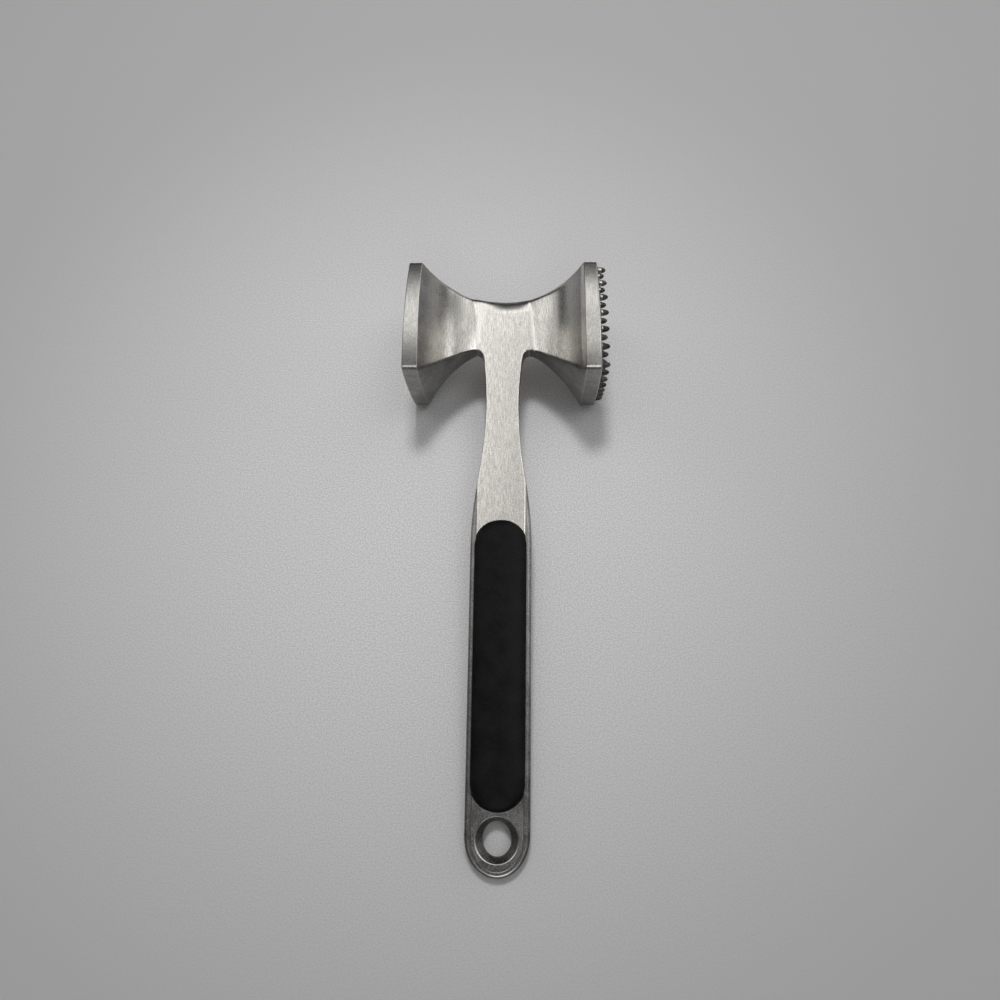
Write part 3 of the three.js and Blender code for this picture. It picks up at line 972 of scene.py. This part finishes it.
# Sparse hairline scratches in three directions
def makeHairlines():
    tree, make, given = newEffect("hairlines", ["Width", "Length", "Rarity"], ["Mask"])
    place = make.place()
    lengths = given["Width"], given["Length"], scratching["depthLength"]
    edge = make.maths("ADD", given["Rarity"], scratching["edge"])
    total = 0
    for angle, shift in scratching["directions"]:
        inputs = {"Vector": place, "Angle": angle}
        turned = make.add("ShaderNodeVectorRotate", inputs, rotation_type="Z_AXIS")[0]
        moved = make.add("ShaderNodeVectorMath", {0: turned, 1: (shift, shift, shift)})[0]
        lines = make.noise(make.stretched(moved, *lengths), 1, 0)
        total = make.maths("MAXIMUM", total, make.ramp(lines, given["Rarity"], edge))
    make.add("NodeGroupOutput", {"Mask": total})
    return tree


brushedGrain = makeBrushedGrain()
grainySkin = makeGrainySkin()
hairlines = makeHairlines()

metalLook = {
    "grain": {"Width": 0.34, "Length": 16},
    "sand": {"Grain": 0.5, "Pit Spacing": 4.6, "Pit Size": 0.42},
    "scratches": {"Width": 0.3, "Length": 13, "Rarity": 0.74},
    # lighter colour of worn edges and of the polish on the rolls, partly a painted highlight
    "highlightAndPolish": (0.77, 0.76, 0.73),
    "bright": (0.82, 0.797, 0.745),
    "plain": (0.54, 0.524, 0.488),
    "skinLight": (0.38, 0.373, 0.363),
    "skinDark": (0.2, 0.196, 0.191),
    # dark colour of the pits and of the darker skin above 1, which in the hang hole is painted shade
    "darkest": (0.055, 0.052, 0.049),
    "darkening": 0.86,
    "darkeningTones": (-0.6, 1.3),    # darker where the sand is low: share = first * tone + second
    "pits": (0.7, 0.15),          # the same for the pits and the skin
    "wear": 0.8,
    "scratchTone": 0.15,
    "roughness": 0.25,
    "skinRoughness": 0.42,
    # How much each effect adds to the roughness
    "roughens": {"grain": -0.05, "sand": 0.04, "wear": 0.05, "scratches": -0.05},
    "sandHeights": (0.9, 0.1),
    "scratchDepth": 0.25,
    "grainDepth": 0.017,
    "skinDepth": 0.05,
}

rubberLook = {
    "sand": {"Grain": 0.42, "Pit Spacing": 7, "Pit Size": 0.3},
    "scratches": {"Width": 0.35, "Length": 9, "Rarity": 0.74},
    "plain": (0.0015, 0.0015, 0.0017),
    "dusty": (0.007, 0.007, 0.007),
    "scuffed": (0.014, 0.014, 0.0145),
    "scratchTone": 0.3,
    "wear": 0.3,
    "roughness": 0.44,
    "roughens": {"sand": 0.12, "scratches": 0.08},
    "specular": 0.11,
    "grainDepth": 0.03,
}

tableLook = {
    "light": (0.58, 0.573, 0.576),
    "dark": (0.38, 0.375, 0.378),
    # outer is the colour that the table is painted toward away from the point middle, between the distances in
    # fade: a painted falloff of the overhead light
    "outer": (0.325, 0.321, 0.322),
    "speckle": 1.7,               # waves in a millimetre
    "tones": (0.3, 0.7),
    "middle": (-30, 45, 0),
    "fade": (20, 290),
    "roughness": 0.7,
}


def newMaterial(name):
    material = bpy.data.materials.new(name)
    material.use_nodes = True
    return material, NodeMaker(material.node_tree), material.node_tree.nodes["Principled BSDF"].inputs


# Satin cast aluminium: brushed on the worked faces, sandy and greyer on the raw ones, with painted shade
# on the brow and in the hang hole, painted highlights on edges and lips, and darker studs
def makeMetal():
    look = metalLook
    material, make, shader = newMaterial("castAluminium")
    # the skin value also carries painted shade and highlights, and the wear mask a painted highlight
    skin, wear = make.attribute("skinAndPaintedLight"), make.attribute("edgeHighlightAndWear")
    grain = make.effect(brushedGrain, look["grain"])
    sand = make.effect(grainySkin, look["sand"])
    scratches = make.effect(hairlines, look["scratches"])["Mask"]
    brushed = make.colours(grain["Tone"], look["plain"], look["bright"])
    raw = make.colours(sand["Tone"], look["skinDark"], look["skinLight"])
    colour = make.colours(skin, brushed, raw)
    # worn edges and polished rolls turn lighter, partly as a painted highlight
    colour = make.colours(make.times(wear, look["wear"]), colour, look["highlightAndPolish"])
    colour = make.colours(make.times(scratches, look["scratchTone"]), colour, look["skinLight"])
    pits = make.times(sand["Pits"], make.maths("MULTIPLY_ADD", skin, *look["pits"]))
    # darker where the skin value passes 1: painted shade in the hang hole, and a darker colour on the studs and
    # toward the handle's end
    darkening = make.times(make.ramp(skin, 1, 2, 0, look["darkening"]),
                       make.maths("MULTIPLY_ADD", sand["Tone"], *look["darkeningTones"]))
    pitsAndDarkening = make.maths("MAXIMUM", pits, darkening)
    make.put(shader["Base Color"], make.colours(pitsAndDarkening, colour, look["darkest"]))
    rough = make.maths("MULTIPLY_ADD", skin, look["skinRoughness"] - look["roughness"], look["roughness"])
    for name, mask in (("grain", make.maths("SUBTRACT", grain["Tone"], 0.5)),
                       ("sand", make.maths("SUBTRACT", sand["Tone"], 0.5)), ("wear", wear),
                       ("scratches", scratches)):
        rough = make.maths("MULTIPLY_ADD", mask, look["roughens"][name], rough)
    make.put(shader["Roughness"], rough)
    height = make.times(sand["Height"], make.maths("MULTIPLY_ADD", skin, *look["sandHeights"]))
    bump = make.bump(height, look["skinDepth"])
    scratched = make.times(scratches, look["scratchDepth"])
    bump = make.bump(make.maths("SUBTRACT", grain["Height"], scratched), look["grainDepth"], bump)
    make.put(shader["Normal"], bump)
    shader["Metallic"].default_value = 1
    return material


# Firm black rubber with a moulded grain, a little dust and a few pale scuffs
def makeRubber():
    look = rubberLook
    material, make, shader = newMaterial("gripRubber")
    sand = make.effect(grainySkin, look["sand"])
    scratches = make.effect(hairlines, look["scratches"])["Mask"]
    colour = make.colours(sand["Tone"], look["plain"], look["dusty"])
    for mask, share in ((scratches, look["scratchTone"]), (make.attribute("edgeHighlightAndWear"), look["wear"])):
        colour = make.colours(make.times(mask, share), colour, look["scuffed"])
    make.put(shader["Base Color"], colour)
    rough = look["roughness"]
    for name, mask in (("sand", make.maths("SUBTRACT", sand["Tone"], 0.5)), ("scratches", scratches)):
        rough = make.maths("MULTIPLY_ADD", mask, look["roughens"][name], rough)
    make.put(shader["Roughness"], rough)
    make.put(shader["Normal"], make.bump(sand["Height"], look["grainDepth"]))
    shader["Specular IOR Level"].default_value = look["specular"]
    return material


# Pale table top with a fine speckle, painted a little darker away from the middle as a falloff of light
def makeTable():
    look = tableLook
    material, make, shader = newMaterial("tableTop")
    place = make.place()
    speckle = make.ramp(make.noise(place, look["speckle"], 1), *look["tones"])
    # painted falloff of light: the colour darkens with distance from the middle
    away = make.add("ShaderNodeVectorMath", {0: place, 1: look["middle"]}, operation="DISTANCE")["Value"]
    colour = make.colours(speckle, look["dark"], look["light"])
    make.put(shader["Base Color"], make.colours(make.ramp(away, *look["fade"]), colour, look["outer"]))
    shader["Roughness"].default_value = look["roughness"]
    return material


castMetal = makeMetal()
gripRubber = makeRubber()
tableTop = makeTable()
print("materials ready")

# Pieces

mallet = makeCasting(castMetal)
print("casting:", len(mallet.data.polygons), "faces")
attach(mallet, "root")
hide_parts("mallet_casting")

for name, side in (("front_grip_pad", 1), ("rear_grip_pad", -1)):
    pad = makeGripPad(name.split("_")[0] + "GripPad", side, gripRubber)
    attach(pad, "root")
    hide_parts(name)
    print(pad.name + ":", len(pad.data.polygons), "faces")

# Floor, light and camera

floorMesh = bpy.data.meshes.new("floor")
floorHalf = 3
corners = [(x * floorHalf, y * floorHalf, 0) for x, y in ((-1, -1), (1, -1), (1, 1), (-1, 1))]
floorMesh.from_pydata(corners, [], [(0, 1, 2, 3)])
floor = newObject("floor", floorMesh)
floor.data.materials.append(tableTop)

# Dim room with soft round light panels round the table. bearing runs from the far side to the right,
# height is above the table, and radius is half the angle that a panel spans, all in degrees. Each
# panel's level fades out between the two shares of its radius in fade
studio = {
    "room": 0.004,
    "background": (0.8, 0.8, 0.8),
    "fade": (0.65, 1.35),
    "panels": {
        "highLeft": {"bearing": -56, "height": 68, "radius": 17, "level": 1.45},
        "highRight": {"bearing": 88, "height": 69.3, "radius": 13, "level": 2.83},
        "far": {"bearing": 4, "height": 56.5, "radius": 13, "level": 1.37},
        "farRight": {"bearing": 53.5, "height": 50, "radius": 22, "level": 0.75},
        "lowRight": {"bearing": 39, "height": 21.5, "radius": 15, "level": 0.97},
        "right": {"bearing": 78, "height": 17, "radius": 13, "level": 1.28},
        "left": {"bearing": -64, "height": 31.5, "radius": 17, "level": 1.06},
        "near": {"bearing": 175, "height": 45, "radius": 13.2, "level": 2.54},
        "nearLeft": {"bearing": 205, "height": 47, "radius": 13, "level": 0.46},
    },
}
world = bpy.data.worlds.new("studio")
bpy.context.scene.world = world
world.use_nodes = True
make = NodeMaker(world.node_tree)
direction = make.add("ShaderNodeTexCoord")["Generated"]
total = studio["room"]
for panel in studio["panels"].values():
    bearing, height, radius = (math.radians(panel[key]) for key in ("bearing", "height", "radius"))
    aim = (math.cos(height) * math.sin(bearing), math.cos(height) * math.cos(bearing), math.sin(height))
    facing = make.add("ShaderNodeVectorMath", {0: direction, 1: aim}, operation="DOT_PRODUCT")["Value"]
    inner, outer = (radius * share for share in studio["fade"])
    away = make.maths("ARCCOSINE", facing)
    total = make.maths("ADD", make.ramp(away, inner, outer, panel["level"], 0), total)
light = make.add("ShaderNodeCombineColor", {"Red": total, "Green": total, "Blue": total})[0]
seen = make.add("ShaderNodeLightPath")["Is Camera Ray"]
make.put(world.node_tree.nodes["Background"].inputs["Color"], make.colours(seen, light, studio["background"]))

# A soft box overhead, for the table and the shadows: the metal mirrors only the panels
softBox = {"place": (-0.02, 0.37, 0.82), "side": 0.13, "power": 4.4}
lamp = bpy.data.lights.new("softBox", "AREA")
lamp.size = softBox["side"]
lamp.energy = softBox["power"]
lampObject = newObject("softBox", lamp)
lampObject.location = softBox["place"]
lampObject.rotation_euler = Vector(softBox["place"]).to_track_quat("Z", "Y").to_euler()
lampObject.visible_camera = False
lampObject.visible_glossy = False

# Camera in the tool's frame, as fitted to the photograph's view
viewpoint = {"place": (11.72, -154.31, 340.05), "turn": (12.89, 1.91, 0.76), "lens": 28.8, "sensor": 36,
             "nearest": 0.01}
camera = bpy.data.cameras.new("camera")
camera.sensor_width = viewpoint["sensor"]
camera.lens = viewpoint["lens"]
camera.clip_start = viewpoint["nearest"]
cameraObject = newObject("camera", camera)
turn = Euler([math.radians(angle) for angle in viewpoint["turn"]]).to_matrix()
cameraObject.rotation_euler = (Matrix.Rotation(restTilt, 3, "X") @ turn).to_euler()
cameraObject.location = toolToRow @ Vector(viewpoint["place"])
bpy.context.scene.camera = cameraObject
bpy.context.scene.view_settings.view_transform = "Standard"
